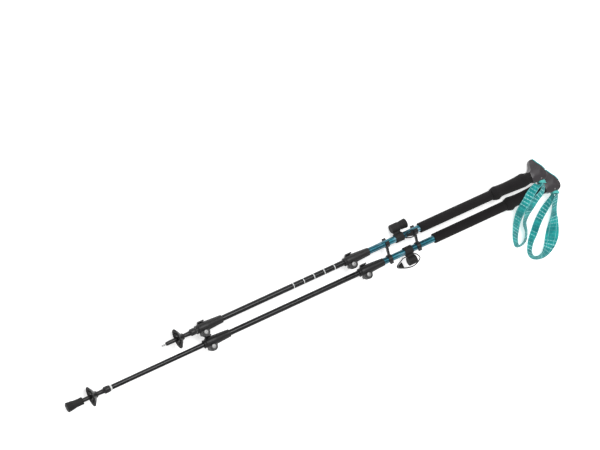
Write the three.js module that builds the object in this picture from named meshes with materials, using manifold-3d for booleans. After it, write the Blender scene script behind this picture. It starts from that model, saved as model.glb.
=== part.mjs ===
// A pair of three-section trekking poles, held side by side by two twin clips.
// Millimetres, +Z up. The poles lie along X on a flat surface at z = 0, tips towards -X and
// grips towards +X. Each pole has its own frame: x along the pole, y towards the beak of its
// head, z towards the heads of its lock screws. Both poles lie rolled over towards their beaks.

import * as THREE from 'three';
import { mergeVertices } from 'three/addons/utils/BufferGeometryUtils.js';
import Module from 'manifold-3d';

const wasm = await Module();
wasm.setup();

// ---------------------------------------------------------------- driving dimensions

const POLE_SPACING = 43;                 // between the two pole axes
const BASKET_RADIUS = 24.25;
const AXIS_HEIGHT = BASKET_RADIUS;       // the baskets rest on the surface
const ROLL = THREE.MathUtils.degToRad(28);

const UPPER_RADIUS = 8;                  // 16, 14 and 12 mm tubes
const MIDDLE_RADIUS = 7;
const LOWER_RADIUS = 6;
const UPPER_BORE = 7.35;
const MIDDLE_BORE = 6.35;
const LOWER_BORE = 5.25;
const RUNNING_GAP = 0.35;                // between a tube and what slides on it

const UPPER_LENGTH = 538;
const MIDDLE_LENGTH = 560;
const LOWER_LENGTH = 400;
const TUBE_IN_LOCK = 6.5;                // from the lock's mouth to the end of the tube it is on
const LOWER_TUBE_IN_LOCK = 10;

const LOCK_LENGTH = 69;
const SCREW_AT = 18.5;                   // from the lock's mouth
const SCREW_OFFSET = 13;                 // from the pole's axis
const EAR_RADIUS = 10.5;
const EAR_HALF = 8.5;                    // half the ears' height along the screw
const PIVOT_DROP = 15;
const LEVER_WIDTH = 16;

const GRIP_FOAM_START = 211.5;           // from the upper lock's mouth
const GRIP_START = 418.5;
const HEAD_START = 531.5;
const POCKET_AT = 556;
const POCKET_HALF = 7.5;
const STRAP_PIN_Y = -13;

const BASKET_AT = 49.5;                  // from the carbide tip
const COLLAR_END = 89.2;
const CAP_LENGTH = 40;
const CAP_OVER_TIP = 20.4;
const HOLDER_REACH = 25;
const HOLDER_WIDTH = 22;
const SOCKET_LENGTH = 22;
const SOCKET_RADIUS = 10.8;
const SOCKET_BORE = 9.5;
const CLIP_WIDTH = 10;
const CLIPS_AT = [221, 301];
const ELASTIC_RADIUS = 1;

// Where each pole's sections stand, along X. Pole A is at +Y, pole B at -Y.
const POLES = [
  { name: 'pole_a', side: 1, upper: 103, lower: -297.5, tip: -387, holder: 257 },
  { name: 'pole_b', side: -1, upper: 134.5, lower: -288.5, tip: -623, holder: 272.5 },
];

// ---------------------------------------------------------------- finishes

const finish = (color, roughness, metalness = 0) => ({ color, roughness, metalness });
const BLUE_TUBE = finish(0x1d7f9c, 0.3, 0.6);
const BLACK_TUBE = finish(0x1b1d20, 0.3, 0.5);
const BLACK_PLASTIC = finish(0x222326, 0.5);
const FOAM = finish(0x1c1c1f, 0.9);
const HEAD_PLASTIC = finish(0x2b2a2e, 0.4);
const TEAL = finish(0x1fa7ad, 0.85);
const RUBBER = finish(0x1a1b1d, 0.8);
const STEEL = finish(0xb9bcc0, 0.3, 1);
const CARBIDE = finish(0x83868a, 0.35, 1);
const LIGHT_RING = finish(0xd9dcdd, 0.4, 0.2);

// ---------------------------------------------------------------- solids

// A closed geometry as a solid: shared corners merged, slivers dropped, faces outwards.
function solid(geometry) {
  const bare = geometry.clone();
  bare.deleteAttribute('normal');
  bare.deleteAttribute('uv');
  const merged = mergeVertices(bare, 1e-4);
  const p = merged.attributes.position.array;
  const triangles = [];
  let volume = 0;
  for (let i = 0; i < merged.index.count; i += 3) {
    const [a, b, c] = [0, 1, 2].map((k) => merged.index.array[i + k]);
    if (a === b || b === c || c === a) continue;
    triangles.push(a, b, c);
    volume += p[3 * a] * (p[3 * b + 1] * p[3 * c + 2] - p[3 * b + 2] * p[3 * c + 1]);
    volume += p[3 * a + 1] * (p[3 * b + 2] * p[3 * c] - p[3 * b] * p[3 * c + 2]);
    volume += p[3 * a + 2] * (p[3 * b] * p[3 * c + 1] - p[3 * b + 1] * p[3 * c]);
  }
  if (volume < 0) triangles.reverse();
  return new wasm.Manifold(new wasm.Mesh({
    numProp: 3,
    vertProperties: new Float32Array(p),
    triVerts: new Uint32Array(triangles),
  }));
}

function geometryOf(manifold) {
  const mesh = manifold.getMesh();
  const geometry = new THREE.BufferGeometry();
  geometry.setAttribute('position', new THREE.BufferAttribute(mesh.vertProperties, 3));
  geometry.setIndex(new THREE.BufferAttribute(mesh.triVerts, 1));
  geometry.computeVertexNormals();
  return geometry;
}

// A profile of [x, radius] pairs turned about the X axis. It starts and ends on the axis,
// or closes on itself.
function turned(profile, sides = 20) {
  const points = profile.map(([x, radius]) => new THREE.Vector2(radius, x));
  return solid(new THREE.LatheGeometry(points, sides).rotateZ(-Math.PI / 2));
}

// A tube or ring about the X axis.
function ring(x0, x1, inner, outer, sides = 20) {
  return turned([[x0, inner], [x0, outer], [x1, outer], [x1, inner], [x0, inner]], sides);
}

// A solid rod about the X axis.
function rod(x0, x1, radius, sides = 20) {
  return turned([[x0, 0], [x0, radius], [x1, radius], [x1, 0]], sides);
}

// A rod parallel to Z.
function post(x, y, z0, z1, radius, sides = 16) {
  const geometry = new THREE.CylinderGeometry(radius, radius, z1 - z0, sides);
  return solid(geometry.rotateX(Math.PI / 2).translate(x, y, (z0 + z1) / 2));
}

function box(x0, x1, y0, y1, z0, z1) {
  const geometry = new THREE.BoxGeometry(x1 - x0, y1 - y0, z1 - z0);
  return solid(geometry.translate((x0 + x1) / 2, (y0 + y1) / 2, (z0 + z1) / 2));
}

// An outline drawn in x and y, raised along Z.
function raised(shape, z0, z1, curveSegments = 8) {
  const settings = { depth: z1 - z0, bevelEnabled: false, curveSegments };
  return solid(new THREE.ExtrudeGeometry(shape, settings).translate(0, 0, z0));
}

// An outline drawn in y and z, drawn out along X.
function drawnAlongX(shape, x0, x1, curveSegments = 8) {
  const settings = { depth: x1 - x0, bevelEnabled: false, curveSegments };
  const turn = new THREE.Matrix4().makeBasis(
    new THREE.Vector3(0, 1, 0),
    new THREE.Vector3(0, 0, 1),
    new THREE.Vector3(1, 0, 0),
  );
  return solid(new THREE.ExtrudeGeometry(shape, settings).applyMatrix4(turn).translate(x0, 0, 0));
}

// A tube whose section follows a smooth path through the points.
function alongPath(section, points, steps) {
  const path = new THREE.CatmullRomCurve3(points.map((p) => new THREE.Vector3(...p)));
  const settings = { steps, extrudePath: path, bevelEnabled: false, curveSegments: 2 };
  return solid(new THREE.ExtrudeGeometry(section, settings));
}

function polygon(points) {
  return new THREE.Shape(points.map(([x, y]) => new THREE.Vector2(x, y)));
}

function piece(name, manifold, material) {
  const mesh = new THREE.Mesh(geometryOf(manifold), new THREE.MeshStandardMaterial(material));
  mesh.name = name;
  return mesh;
}

// ---------------------------------------------------------------- clamp locks

// A split clamp on the end of the outer tube. The lower lock's mouth is opened out so that the
// depth ring goes into it.
function lockBody(outerRadius, innerRadius, tubeStart, mouth) {
  const sleeve = turned([
    [0, 0], [0, 10.2], [2.8, 10.2], [3.4, 9.4], [5, 9.4], [6, 11], [13, 12], [24, 12],
    [LOCK_LENGTH - 1, 9.6], [LOCK_LENGTH, 9], [LOCK_LENGTH, 0],
  ], 18);
  const ears = new THREE.Shape();
  ears.moveTo(SCREW_AT - 12, 0);
  ears.lineTo(SCREW_AT - EAR_RADIUS, -SCREW_OFFSET);
  ears.absarc(SCREW_AT, -SCREW_OFFSET, EAR_RADIUS, Math.PI, 0, false);
  ears.lineTo(SCREW_AT + EAR_RADIUS + 3, -8);
  ears.lineTo(SCREW_AT + EAR_RADIUS + 6, 0);
  const inner = innerRadius + RUNNING_GAP;
  const outer = outerRadius + RUNNING_GAP;
  const start = tubeStart - RUNNING_GAP;
  const bore = turned([
    [-1, 0], [-1, mouth], [tubeStart - 4.5, mouth], [tubeStart - 4.5, inner], [start, inner],
    [start, outer], [LOCK_LENGTH + 1, outer], [LOCK_LENGTH + 1, 0],
  ], 18);
  const slit = box(-1, 40, -SCREW_OFFSET - EAR_RADIUS - 1, 0, -0.7, 0.7);
  const screwHole = post(SCREW_AT, -SCREW_OFFSET, -20, 20, 2.4, 12);
  const screwSeat = post(SCREW_AT, -SCREW_OFFSET, EAR_HALF, 14, 6.6);
  return sleeve.add(raised(ears, -EAR_HALF, EAR_HALF, 4)).subtract(bore).subtract(slit)
    .subtract(screwHole).subtract(screwSeat).subtract(leverRoom());
}

// The clamp's lower ear ends short of the lever's cam.
function leverRoom() {
  return box(0, 40, -SCREW_OFFSET - EAR_RADIUS - 1, -SCREW_OFFSET + 7, -EAR_HALF - 6, -EAR_HALF);
}

// A curved lever that wraps the clamp's far side. Its cam is forked round the screw.
function lockLever() {
  const inner = 12.9;
  const outer = 15.6;
  const cam = 6.1;
  const from = THREE.MathUtils.degToRad(10);
  const to = THREE.MathUtils.degToRad(-122);
  const outline = new THREE.Shape();
  outline.moveTo(outer * Math.cos(from), outer * Math.sin(from));
  outline.absarc(0, 0, outer, from, to, true);
  outline.lineTo(-SCREW_OFFSET - 1, -PIVOT_DROP - cam);
  outline.absarc(-SCREW_OFFSET, -PIVOT_DROP, cam, -Math.PI * 0.55, Math.PI * 0.22, true);
  outline.lineTo(inner * Math.cos(to), inner * Math.sin(to));
  outline.absarc(0, 0, inner, to, from, false);
  const x0 = SCREW_AT - LEVER_WIDTH / 2;
  const x1 = SCREW_AT + LEVER_WIDTH / 2;
  const tab = polygon([[12.9, -4], [16.4, -4], [16.4, 3.4], [13.4, 3.4]]);
  const fork = box(SCREW_AT - 2.7, SCREW_AT + 2.7, -SCREW_OFFSET - 9, -SCREW_OFFSET + 4.6,
    -PIVOT_DROP - 9, -PIVOT_DROP + 9);
  const bore = rod(x0 - 1, x1 + 1, 3.6, 16).translate([0, -SCREW_OFFSET, -PIVOT_DROP]);
  return drawnAlongX(outline, x0, x1, 5).add(drawnAlongX(tab, x0, x1)).subtract(fork).subtract(bore);
}

// A domed screw head on the near ear, and its shank down into the pivot.
function lockScrew() {
  const profile = [
    [-PIVOT_DROP - 1.5, 0], [-PIVOT_DROP - 1.5, 2], [EAR_HALF + 0.3, 2], [EAR_HALF + 0.3, 6],
    [EAR_HALF + 2.2, 6], [EAR_HALF + 3.2, 5], [EAR_HALF + 3.2, 1.6], [EAR_HALF + 2.2, 1.4],
    [EAR_HALF + 2.2, 0],
  ];
  const points = profile.map(([z, radius]) => new THREE.Vector2(radius, z));
  const geometry = new THREE.LatheGeometry(points, 14).rotateX(Math.PI / 2);
  return solid(geometry.translate(SCREW_AT, -SCREW_OFFSET, 0));
}

// A barrel pin with a cross hole for the screw. The lever turns on it.
function lockPivot() {
  const half = LEVER_WIDTH / 2 - 0.3;
  const barrel = rod(SCREW_AT - half, SCREW_AT + half, 3.25, 16);
  return barrel.translate([0, -SCREW_OFFSET, -PIVOT_DROP])
    .subtract(post(SCREW_AT, -SCREW_OFFSET, -PIVOT_DROP - 5, -PIVOT_DROP + 5, 2.35, 12));
}

function lock(prefix, outerRadius, innerRadius, tubeStart, mouth) {
  const group = new THREE.Group();
  group.add(
    piece(`${prefix}_body`, lockBody(outerRadius, innerRadius, tubeStart, mouth), BLACK_PLASTIC),
    piece(`${prefix}_lever`, lockLever(), BLACK_PLASTIC),
    piece(`${prefix}_screw`, lockScrew(), STEEL),
    piece(`${prefix}_pivot`, lockPivot(), STEEL),
  );
  return group;
}

// ---------------------------------------------------------------- grip, head and strap

// The foam handle: a ridge at its lower end, a waist, and a hump under the head.
function grip() {
  const bore = UPPER_RADIUS + RUNNING_GAP;
  return turned([
    [GRIP_START, bore], [GRIP_START, 12.6], [424, 15.4], [430.5, 17.2], [438, 15.9],
    [451, 14.6], [474, 14.9], [495, 16], [511, 16.8], [521, 15.4], [HEAD_START - 0.4, 13.6],
    [HEAD_START - 0.4, bore], [GRIP_START, bore],
  ]);
}

function gripExtension() {
  const bore = UPPER_RADIUS + RUNNING_GAP;
  return turned([
    [GRIP_FOAM_START, bore], [GRIP_FOAM_START, 11.6], [GRIP_FOAM_START + 2, 12.3],
    [GRIP_START - 2, 12.3], [GRIP_START - 0.4, 11.8], [GRIP_START - 0.4, bore],
    [GRIP_FOAM_START, bore],
  ]);
}

// The two ends of the slanted top, as [x, y].
const TOP_FRONT = [555, 39];
const TOP_REAR = [575, 1];

// The head seen from the side: beak forward, slanted top, rear corner over the strap pocket.
function headSide() {
  const shape = new THREE.Shape();
  shape.moveTo(HEAD_START, 12.6);
  shape.quadraticCurveTo(540, 14, 542, 27);
  shape.quadraticCurveTo(544, 39.5, ...TOP_FRONT);
  shape.lineTo(...TOP_REAR);
  shape.quadraticCurveTo(578, -5, 574, -12);
  shape.quadraticCurveTo(569, -20, 561, -20);
  shape.lineTo(543, -18);
  shape.lineTo(HEAD_START, -13.6);
  return shape;
}

// The head seen from along the pole: broad over the shaft, slim at the beak.
function headFront() {
  const half = [[-21, 7], [-17, 9.6], [-10, 12.8], [0, 15], [12, 13.4], [24, 8.2], [34, 6]];
  const left = half.map(([y, z]) => new THREE.Vector2(y, z));
  const right = half.map(([y, z]) => new THREE.Vector2(y, -z)).reverse();
  const shape = new THREE.Shape();
  shape.moveTo(-21, -7);
  shape.lineTo(-21, 7);
  shape.splineThru(left.slice(1));
  shape.quadraticCurveTo(40, 5, 40, 0);
  shape.quadraticCurveTo(40, -5, 34, -6);
  shape.splineThru(right.slice(1));
  return shape;
}

// The head seen from the beak: its sides draw in towards the top.
function headTop() {
  const shape = new THREE.Shape();
  shape.moveTo(HEAD_START - 1, -14.2);
  shape.lineTo(HEAD_START - 1, 14.2);
  shape.lineTo(548, 15.6);
  shape.quadraticCurveTo(569, 14.8, 580, 6.6);
  shape.lineTo(580, -6.6);
  shape.quadraticCurveTo(569, -14.8, 548, -15.6);
  return shape;
}

// What the outlines from along the pole and from the beak leave of a taller solid.
function withinHead(whole) {
  const front = drawnAlongX(headFront(), HEAD_START, 585, 3);
  const sides = raised(headTop(), -75, 75, 4).rotate([90, 0, 0]);
  return whole.intersect(front).intersect(sides);
}

// A slab along the slanted top: between two distances from its front end, from one height over
// it to another.
function topSlab(from, to, low, high, halfWidth) {
  const front = new THREE.Vector2(...TOP_FRONT);
  const along = new THREE.Vector2(...TOP_REAR).sub(front).normalize();
  const out = new THREE.Vector2(-along.y, along.x);
  const corner = (distance, height) => front.clone()
    .addScaledVector(along, distance)
    .addScaledVector(out, height);
  const outline = [corner(from, low), corner(to, low), corner(to, high), corner(from, high)];
  return raised(new THREE.Shape(outline), -halfWidth, halfWidth);
}

// A palm plate over the slanted top, with a key that sits in the head's recess.
function headInlay() {
  return withinHead(topSlab(1.5, 41.5, 0.3, 2.4, 20)).add(topSlab(9.3, 38.7, -1.3, 1, 5.3));
}

function head() {
  const shaftBore = rod(HEAD_START - 1, 545, UPPER_RADIUS + RUNNING_GAP);
  const pocket = box(POCKET_AT - POCKET_HALF, POCKET_AT + POCKET_HALF, -30, 0, -8.3, 8.3);
  const pinHole = post(POCKET_AT, STRAP_PIN_Y, -11.4, 11.4, 2.35, 12);
  return withinHead(raised(headSide(), -20, 20, 5)).subtract(shaftBore).subtract(pocket)
    .subtract(pinHole).subtract(topSlab(9, 39, -1.6, 9, 5.6));
}

function strapWedge() {
  const x0 = POCKET_AT - POCKET_HALF + 1;
  const x1 = POCKET_AT + POCKET_HALF - 1;
  return raised(polygon([[x0, -1], [x1, -1], [x1 - 2, -8], [x0 + 2, -8]]), -7.4, 7.4);
}

// A flat band on the surface, through [x, y, half width] stations.
function flatBand(stations, z0, z1) {
  const centre = new THREE.CatmullRomCurve3(stations.map((s) => new THREE.Vector3(...s)));
  const steps = 18;
  const left = [];
  const right = [];
  for (let i = 0; i <= steps; i++) {
    const at = centre.getPoint(i / steps);
    const along = centre.getTangent(i / steps).setZ(0).normalize();
    left.push([at.x - along.y * at.z, at.y + along.x * at.z]);
    right.push([at.x + along.y * at.z, at.y - along.x * at.z]);
  }
  return raised(polygon([...left, ...right.reverse()]), z0, z1);
}

// A wrist strap: a flat loop on the surface, and two necks that rise into the head's pocket.
function strap(band, necks) {
  const section = polygon([[-1.8, -5], [1.8, -5], [1.8, 5], [-1.8, 5]]);
  return necks.reduce(
    (whole, neck) => whole.add(alongPath(section, neck, 10)),
    flatBand(band, 0.4, 4.4),
  );
}

// The loops lie as dropped: pole A's crosses over pole B's grip.
const STRAPS = {
  pole_a: {
    band: [
      [575.5, -83.5, 6], [572.5, -107.5, 8], [568.5, -131.5, 6], [570.5, -145.5, 3],
      [580.5, -152.5, 3], [593.5, -148.5, 3], [601.5, -134.5, 5], [605.5, -115.5, 8],
      [603.5, -87.5, 6],
    ],
    necks: [
      [
        [654.9, 12.4, 29.1], [654.8, 1.6, 34.9], [649.5, -5, 42.6], [636, -6.5, 48],
        [620, -12, 49.5], [603, -24.5, 48], [590.5, -41, 40], [582, -59, 25], [577.3, -75.8, 9],
        [575, -88, 5.6],
      ],
      [
        [663.6, 12.4, 29.1], [663.6, 2.6, 34.4], [661, -4, 43.5], [652.5, -11.5, 49],
        [638.5, -21.5, 50], [622, -33, 46], [609.8, -49, 36], [604.4, -66, 21],
        [603.4, -80, 9], [603.5, -92, 5.6],
      ],
    ],
  },
  pole_b: {
    band: [
      [653.5, -89.5, 6], [637.5, -113.5, 10], [621.5, -139.5, 9], [608.5, -165.5, 6],
      [603.5, -185.5, 3], [609.5, -200.5, 3], [624.5, -207.5, 3], [642.5, -203.5, 6],
      [658.5, -190.5, 12], [670.5, -168.5, 14], [680.5, -142.5, 13], [687.5, -107.5, 7],
    ],
    necks: [
      [
        [685.9, -30.6, 29.1], [685.9, -40.9, 34.6], [681.5, -50.5, 31], [673, -63, 19],
        [663.5, -76, 8.6], [651.5, -92.5, 5.6],
      ],
      [
        [695.1, -30.6, 29.1], [695.1, -40.9, 34.6], [695.2, -53, 29], [693.3, -71, 15],
        [690.3, -94, 7.6], [687, -111.5, 5.6],
      ],
    ],
  },
};

// ---------------------------------------------------------------- lower end

function ferrule() {
  return turned([
    [10.3, 2.35], [10.3, 2.9], [11.2, 3.9], [30, 4.8], [43, 5.2], [58, 5.2], [72, 5.6],
    [76.4, 8.4], [84, 8.4], [COLLAR_END, 7.4], [COLLAR_END, LOWER_RADIUS + RUNNING_GAP],
    [76.2, LOWER_RADIUS + RUNNING_GAP], [76.2, 2.35], [10.3, 2.35],
  ], 16);
}

function carbideTip() {
  return turned([[1.4, 0], [0, 1.4], [0.6, 2], [24, 2], [24, 0]], 16);
}

// A domed disc round a threaded hub, hollow towards the tip.
function basket() {
  return turned([
    [-7, 5.6], [-7, 7.6], [-1.6, 8.4], [-3.4, 15], [-8.4, 22.6], [-9.6, BASKET_RADIUS - 0.6],
    [-7.6, BASKET_RADIUS], [-1.2, 15.6], [3, 8.6], [7, 7.6], [7, 5.6], [-7, 5.6],
  ], 24);
}

function depthRing() {
  return ring(COLLAR_END + 0.3, COLLAR_END + 4.2, LOWER_RADIUS + RUNNING_GAP, 7.1);
}

// A rubber foot that flares to a flat sole. Its sole is at x = 0 and its mouth at x = CAP_LENGTH.
function tipCap() {
  return turned([
    [0, 0], [0, 10.4], [1.6, 11.7], [6, 11.5], [16, 10.2], [19, 9.1], [CAP_LENGTH, 8.7],
    [CAP_LENGTH, 5.4], [14, 5.2], [13, 2.6], [13, 0],
  ], 18);
}

// A plug in a tube's inner end, with a rim that runs in the next tube.
function bush(tubeEnd, bore, rim) {
  return turned([
    [tubeEnd - 14, 0], [tubeEnd - 14, bore - 0.3], [tubeEnd + 0.3, bore - 0.3],
    [tubeEnd + 0.3, rim], [tubeEnd + 4, rim], [tubeEnd + 5, rim - 1], [tubeEnd + 5, 0],
  ]);
}

// ---------------------------------------------------------------- cap holder and twin clips

// A band round the shaft, a neck, and a socket open towards the grips for the tip cap's mouth.
function capHolder() {
  const halfNeck = 9;
  const band = ring(-HOLDER_WIDTH / 2, HOLDER_WIDTH / 2, UPPER_RADIUS + RUNNING_GAP, 10.8);
  const neck = box(-halfNeck, halfNeck, 9, HOLDER_REACH - SOCKET_RADIUS + 1.5, -4, 4);
  const socket = turned([
    [-SOCKET_LENGTH / 2, 0], [-SOCKET_LENGTH / 2, SOCKET_RADIUS],
    [SOCKET_LENGTH / 2, SOCKET_RADIUS], [SOCKET_LENGTH / 2, SOCKET_BORE],
    [-SOCKET_LENGTH / 2 + 2, SOCKET_BORE],
    [-SOCKET_LENGTH / 2 + 2, 0],
  ]);
  return band.add(neck).add(socket.translate([0, HOLDER_REACH, 0]));
}

// The outline of one snap: a ring open on its outer side, with lips that flare.
function snapOutline() {
  const inner = UPPER_RADIUS + RUNNING_GAP;
  const outer = 10.9;
  const open = THREE.MathUtils.degToRad(52);
  const shape = new THREE.Shape();
  shape.moveTo(inner * Math.cos(open), inner * Math.sin(open));
  shape.absarc(0, 0, inner, open, 2 * Math.PI - open, false);
  shape.lineTo(8.2, -8.2);
  shape.lineTo(9.4, -10.4);
  shape.lineTo(6.9, -10.6);
  shape.absarc(0, 0, outer, -Math.PI * 0.33, Math.PI * 0.33, true);
  shape.lineTo(6.9, 10.6);
  shape.lineTo(9.4, 10.4);
  shape.lineTo(8.2, 8.2);
  return shape;
}

function twinClip(x) {
  const half = CLIP_WIDTH / 2;
  const snap = drawnAlongX(snapOutline(), -half, half, 7);
  const reach = POLE_SPACING / 2;
  const strut = box(-2.4, 2.4, -reach + 9.6, reach - 9.6, -4, 4);
  const pair = snap.translate([0, reach, 0]).add(snap.rotate([0, 0, 180]).translate([0, -reach, 0]));
  return pair.add(strut).translate([x, 0, AXIS_HEIGHT]);
}

// ---------------------------------------------------------------- elastic loops

// Each loop is an elastic cord whose ends are moulded into its holder, round a pull tab.
const ELASTICS = {
  pole_a: {
    route: [
      [269.9, 17.5, 33.4], [273, 16.6, 33.6], [279, 14.2, 33.7], [286, 12.4, 33.7],
      [291.6, 12.2, 33.7], [294, 15, 33.7], [294.4, 21.5, 33.7], [294, 28, 33.7],
      [291.6, 30.8, 33.7], [286, 30.6, 33.7], [279, 28.8, 33.7], [273, 26.4, 33.6],
      [269.9, 25.5, 33.4],
    ],
    tab: [[275, 19.6], [290.8, 14.4], [291.8, 15.6], [291.8, 27.4], [290.8, 28.6], [275, 23.4]],
    tabLow: 32.6,
    steps: 14,
  },
  pole_b: {
    route: [
      [262.9, -32.5, 30.1], [260, -33.2, 29], [259.6, -36.8, 22.5], [261.6, -42.4, 13],
      [262, -47.6, 6], [260.4, -52.2, 2.4], [256.4, -55, 1.4], [251, -58.2, 1.4],
      [246.8, -61.8, 1.4], [246.2, -65.8, 1.4], [249.6, -68.6, 1.4], [256, -71.4, 1.4],
      [264, -75, 1.4], [271, -77.6, 1.4], [280, -79.8, 1.4], [290, -80.4, 1.5],
      [299.6, -77, 2.6], [304.6, -68, 8], [304, -58, 17], [299.6, -49.4, 24.6],
      [294.4, -42.4, 28.2], [289.6, -36.4, 29.8], [286, -33.4, 30.1], [282.1, -32.5, 30.1],
    ],
    tab: [
      [258.6, -57.2], [249.8, -62.4], [248.6, -63.8], [248.6, -65], [250.4, -66.9],
      [264, -73.2], [260.8, -57.6],
    ],
    tabLow: 0.4,
    steps: 38,
  },
};

function elastic(name) {
  const { route, tab, tabLow, steps } = ELASTICS[name];
  const section = polygon([...Array(8).keys()].map((k) => [
    ELASTIC_RADIUS * Math.cos(k * Math.PI / 4),
    ELASTIC_RADIUS * Math.sin(k * Math.PI / 4),
  ]));
  return [
    piece(`${name}_elastic_loop`, alongPath(section, route, steps), RUBBER),
    piece(`${name}_loop_tab`, raised(polygon(tab), tabLow, tabLow + 2.2), BLACK_PLASTIC),
  ];
}

// ---------------------------------------------------------------- poles

function upperSection({ name }) {
  const group = new THREE.Group();
  const tube = ring(TUBE_IN_LOCK, TUBE_IN_LOCK + UPPER_LENGTH, UPPER_BORE, UPPER_RADIUS);
  const pin = post(POCKET_AT, STRAP_PIN_Y, -11, 11, 2, 12);
  group.add(
    piece(`${name}_upper_shaft`, tube, BLUE_TUBE),
    piece(`${name}_grip_extension`, gripExtension(), FOAM),
    piece(`${name}_grip`, grip(), FOAM),
    piece(`${name}_head`, head(), HEAD_PLASTIC),
    piece(`${name}_head_inlay`, headInlay(), TEAL),
    piece(`${name}_strap_pin`, pin, STEEL),
    piece(`${name}_strap_wedge`, strapWedge(), BLACK_PLASTIC),
    lock(`${name}_upper_lock`, UPPER_RADIUS, MIDDLE_RADIUS, TUBE_IN_LOCK, MIDDLE_RADIUS + 0.35),
  );
  return group;
}

function middleSection({ name }) {
  const group = new THREE.Group();
  const end = LOWER_TUBE_IN_LOCK + MIDDLE_LENGTH;
  const tube = ring(LOWER_TUBE_IN_LOCK, end, MIDDLE_BORE, MIDDLE_RADIUS);
  group.add(
    piece(`${name}_middle_shaft`, tube, BLACK_TUBE),
    piece(`${name}_middle_bush`, bush(end, MIDDLE_BORE, UPPER_BORE - 0.3), BLACK_PLASTIC),
    lock(`${name}_lower_lock`, MIDDLE_RADIUS, LOWER_RADIUS, LOWER_TUBE_IN_LOCK, 8),
  );
  return group;
}

function lowerSection({ name }) {
  const group = new THREE.Group();
  const start = 76.6;
  const end = start + LOWER_LENGTH;
  group.add(
    piece(`${name}_lower_shaft`, ring(start, end, LOWER_BORE, LOWER_RADIUS), BLACK_TUBE),
    piece(`${name}_lower_bush`, bush(end, LOWER_BORE, MIDDLE_BORE - 0.3), BLACK_PLASTIC),
    piece(`${name}_ferrule`, ferrule(), BLACK_PLASTIC),
    piece(`${name}_carbide_tip`, carbideTip(), CARBIDE),
    piece(`${name}_depth_ring`, depthRing(), LIGHT_RING),
    piece(`${name}_basket`, basket().translate([BASKET_AT, 0, 0]), BLACK_PLASTIC),
  );
  return group;
}

function pole(settings) {
  const group = new THREE.Group();
  group.position.set(0, settings.side * POLE_SPACING / 2, AXIS_HEIGHT);
  group.rotation.x = -ROLL;
  const upper = upperSection(settings);
  upper.position.x = settings.upper;
  const middle = middleSection(settings);
  middle.position.x = settings.lower;
  const lower = lowerSection(settings);
  lower.position.x = settings.tip;

  // The holder's socket is towards the outer side of the pair.
  const holder = piece(`${settings.name}_cap_holder`, capHolder(), BLACK_PLASTIC);
  holder.position.x = settings.holder;
  holder.rotation.x = settings.side > 0 ? 0 : Math.PI;
  const cap = piece(`${settings.name}_tip_cap`, tipCap(), RUBBER);
  if (settings.side > 0) {
    cap.position.set(settings.holder - SOCKET_LENGTH / 2 + 2.5 + CAP_LENGTH, HOLDER_REACH, 0);
    cap.rotation.z = Math.PI;
  } else {
    cap.position.x = settings.tip - CAP_OVER_TIP;
  }
  group.add(upper, middle, lower, holder, cap);
  return group;
}

// ---------------------------------------------------------------- the pair

const trekkingPoles = new THREE.Group();
for (const settings of POLES) {
  const { band, necks } = STRAPS[settings.name];
  trekkingPoles.add(
    pole(settings),
    piece(`${settings.name}_strap`, strap(band, necks), TEAL),
    ...elastic(settings.name),
  );
}
CLIPS_AT.forEach((x, i) => {
  trekkingPoles.add(piece(`twin_clip_${i + 1}`, twinClip(x), BLACK_PLASTIC));
});

// The origin is at the bottom centre of the box round the pair, the loose elastic loops left out.
const around = new THREE.Box3();
trekkingPoles.updateMatrixWorld(true);
trekkingPoles.traverse((object) => {
  if (object.isMesh && !object.name.includes('loop')) around.expandByObject(object, true);
});
const centre = around.getCenter(new THREE.Vector3());
trekkingPoles.position.set(-centre.x, -centre.y, -around.min.z);

export default trekkingPoles;
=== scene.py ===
"""A pair of three-section trekking poles lying in their twin clips: shapes and finishes.

Sizes are millimetres in each pole's own frame, as the part's source has them: x along the pole
from tip to grip, y towards the beak of its head, z towards the heads of its clamp screws.
Everything is brought to metres in the row frame when a piece is made.
"""

import math

import bmesh
import bpy
from mathutils import Matrix, Vector


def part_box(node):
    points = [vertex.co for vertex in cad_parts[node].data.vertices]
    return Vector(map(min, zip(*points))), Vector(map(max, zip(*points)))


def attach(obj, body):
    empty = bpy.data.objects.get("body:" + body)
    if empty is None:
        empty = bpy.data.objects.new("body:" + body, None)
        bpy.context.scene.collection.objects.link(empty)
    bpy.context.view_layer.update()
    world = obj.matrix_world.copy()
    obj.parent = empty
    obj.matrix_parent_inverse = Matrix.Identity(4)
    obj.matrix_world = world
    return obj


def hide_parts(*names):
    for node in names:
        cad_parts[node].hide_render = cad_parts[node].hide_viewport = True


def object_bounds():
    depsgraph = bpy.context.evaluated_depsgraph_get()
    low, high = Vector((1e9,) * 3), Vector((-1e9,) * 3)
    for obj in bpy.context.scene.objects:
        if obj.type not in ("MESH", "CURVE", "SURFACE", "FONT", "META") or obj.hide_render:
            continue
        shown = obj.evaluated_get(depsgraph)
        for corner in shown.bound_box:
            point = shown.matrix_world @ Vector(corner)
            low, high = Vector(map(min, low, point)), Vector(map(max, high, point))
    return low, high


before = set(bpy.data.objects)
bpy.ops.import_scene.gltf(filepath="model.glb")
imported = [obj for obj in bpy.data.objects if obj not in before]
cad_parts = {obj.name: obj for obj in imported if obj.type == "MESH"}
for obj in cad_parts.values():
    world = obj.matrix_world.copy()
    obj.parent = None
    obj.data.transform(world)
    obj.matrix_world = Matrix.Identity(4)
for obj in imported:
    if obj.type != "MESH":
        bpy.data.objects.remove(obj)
CAD_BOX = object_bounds()

# ---------------------------------------------------------------- driving sizes, mm

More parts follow.
